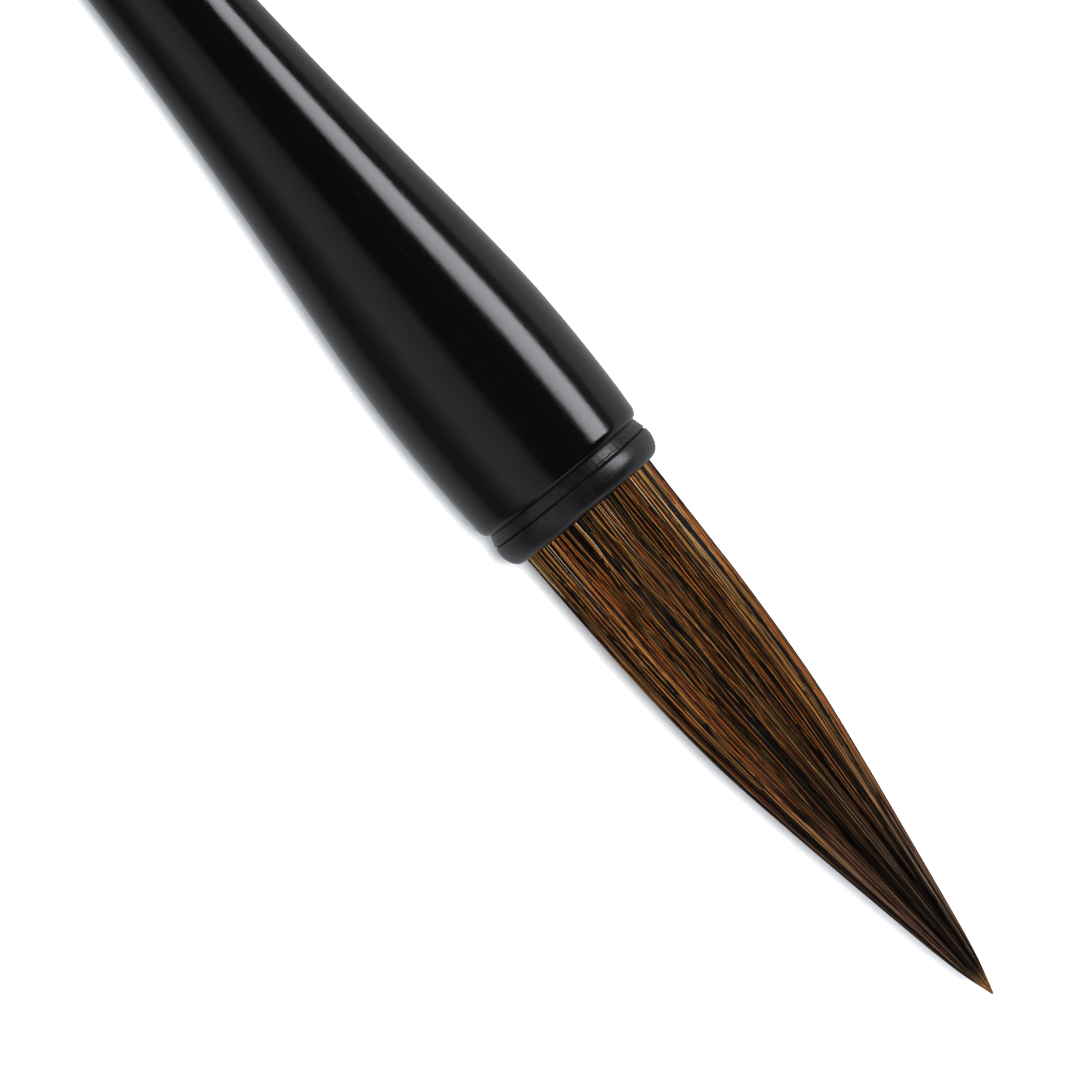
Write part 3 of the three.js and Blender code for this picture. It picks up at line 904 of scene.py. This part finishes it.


# How bright the studio is round the brush, seen in its gloss: (degrees from overhead to the lit side, light).
# A dim panel hangs on the shaded side, and the pale table shows below on both sides.
# Between about 85 and 100 degrees on each side, where the table starts, the surround is dimmer: painted
# shadow, the table in the brush's shadow.
SURROUND = (
    (-178, 0.40), (-136, 0.42), (-114, 0.37), (-104, 0.28), (-94, 0.09), (-80, 0.11), (-69, 0.20),
    (-50, 0.56), (-38, 0.50), (-16, 0.32), (-8, 0.02),
    (80, 0.02), (86, 0.12), (95, 0.13), (99, 0.50), (178, 0.50),
)
SURROUND_DISTANCE = 0.62
SURROUND_ENDS = (-1.5, 1.5)  # from the mouth, along the brush
SURROUND_STEP = 0.5  # degrees

# The strip light, low on the lit side. Its glow across it is (share of its width, share of its light).
SOFTBOX = ((0.0, 0.0), (0.08, 0.70), (0.5, 0.95), (1.0, 1.0))
SOFTBOX_LIGHT = 7.6
SOFTBOX_DISTANCE = 0.60
SOFTBOX_ENDS = (0.2, -0.3)
SOFTBOX_FROM = (56.4, 47.9)  # its upper edge at each end, in degrees from overhead to the lit side
SOFTBOX_WIDTH = 26.0  # degrees
GLOW_TINT = (0.94, 0.96, 1.0)


def glowing_tunnel(name, distance, ends, degrees_at_ends, light):
    """A strip of a tunnel round the brush, seen only in its gloss.

    degrees_at_ends has a row for each end, and light is how bright the strip is at each value of a row.
    """
    points = np.stack([place(np.full(len(d), end), distance, np.radians(d)) for end, d in
                       zip(ends, degrees_at_ends)], axis=1).reshape(-1, 3)
    faces = [(2 * i, 2 * i + 1, 2 * i + 3, 2 * i + 2) for i in range(len(light) - 1)]
    made = new_object(name, points, faces)
    glow = made.data.attributes.new("glow", "FLOAT", "POINT")
    glow.data.foreach_set("value", np.repeat(light, 2).astype(np.float32))
    material = bpy.data.materials.new(name)
    material.use_nodes = True
    tree = material.node_tree
    tree.nodes.clear()
    strength = tree.nodes.new("ShaderNodeAttribute")
    strength.attribute_name = "glow"
    emission = tree.nodes.new("ShaderNodeEmission")
    emission.inputs["Color"].default_value = (*GLOW_TINT, 1)
    out = tree.nodes.new("ShaderNodeOutputMaterial")
    tree.links.new(strength.outputs["Fac"], emission.inputs["Strength"])
    tree.links.new(emission.outputs[0], out.inputs["Surface"])
    made.data.materials.append(material)
    made.visible_camera = False
    made.visible_diffuse = False
    made.visible_shadow = False


def surround():
    """The dim studio that the brush's gloss shows."""
    degrees, light = np.array(SURROUND).T
    turned = np.arange(degrees[0], degrees[-1] + SURROUND_STEP, SURROUND_STEP)
    glow = np.interp(turned, degrees, light)
    glowing_tunnel("surround", SURROUND_DISTANCE, SURROUND_ENDS, (turned, turned), glow)


def softbox():
    """The strip light that draws the long reflection on the handle."""
    across, glow = np.array(SOFTBOX).T
    share = np.linspace(0, 1, 41)
    rows = [start + SOFTBOX_WIDTH * share for start in SOFTBOX_FROM]
    light = SOFTBOX_LIGHT * np.interp(share, across, glow)
    glowing_tunnel("softbox", SOFTBOX_DISTANCE, SOFTBOX_ENDS, rows, light)


KEY_TILT = math.tan(math.radians(5.5))
KEY_DISTANCE = 0.9
KEY_WATTS = 12


def key_light():
    """A small overhead light, tipped a little to the lit side, so that the shadow shows on one side only."""
    direction = UP + KEY_TILT * SIDE
    data = bpy.data.lights.new("key", "AREA")
    data.shape = "DISK"
    data.size = 2 * KEY_DISTANCE * KEY_TILT
    data.energy = KEY_WATTS
    made = bpy.data.objects.new("key", data)
    bpy.context.scene.collection.objects.link(made)
    made.location = MOUTH + direction.normalized() * KEY_DISTANCE
    made.rotation_mode = "QUATERNION"
    made.rotation_quaternion = direction.to_track_quat("Z", "Y")
    made.visible_camera = False
    made.visible_glossy = False


def world():
    """A pale, slightly cool surround, which fills in the shadows."""
    made = bpy.data.worlds.new("studio")
    bpy.context.scene.world = made
    made.use_nodes = True
    background = made.node_tree.nodes["Background"]
    background.inputs["Color"].default_value = (0.9, 0.95, 1, 1)
    background.inputs["Strength"].default_value = 0.87


# ---------------------------------------------------------------- build

bpy.context.scene.view_settings.view_transform = "Standard"
lacquer = lacquer_material()
horn = horn_material()
handle_piece(lacquer)
collar_piece(horn)
top_ring_piece(horn)
finial_piece(horn)
thread_piece(thread_material())
for node, material in (("glue_bed", glue_material()), ("rosin_seal", rosin_material())):
    frame["nodes"][node].data.materials.clear()
    frame["nodes"][node].data.materials.append(material)

# The packed hair's near-black colours are painted shade: the shade deep in the tuft, seen between the outer
# strands.
packed_shade_tones = (linear(30, 20, 14), linear(14, 11, 9))
packed_depth, packed_back, packed_end = 0.7 * MM, -8 * MM, 0.93 * HAIR_LENGTH
inner_hair = hair_material("inner_hair", roughness=0.6)
packed_hair("packed_hair", packed_depth, packed_back, packed_end, packed_shade_tones, inner_hair, "inner_hair",
            "hair_padding", "hair_core", "hair_root")

outer_hair = hair_material("outer_hair", roughness=0.5)
for i in range(4):
    body_strands(f"outer_strands_{i + 1}", np.random.default_rng(40 + i), 1150, outer_hair)
surface_strands("surface_strands", np.random.default_rng(50), 520, outer_hair)
pale_strands("pale_strands", np.random.default_rng(60), 20, outer_hair)

floor()
surround()
softbox()
key_light()
world()
camera()
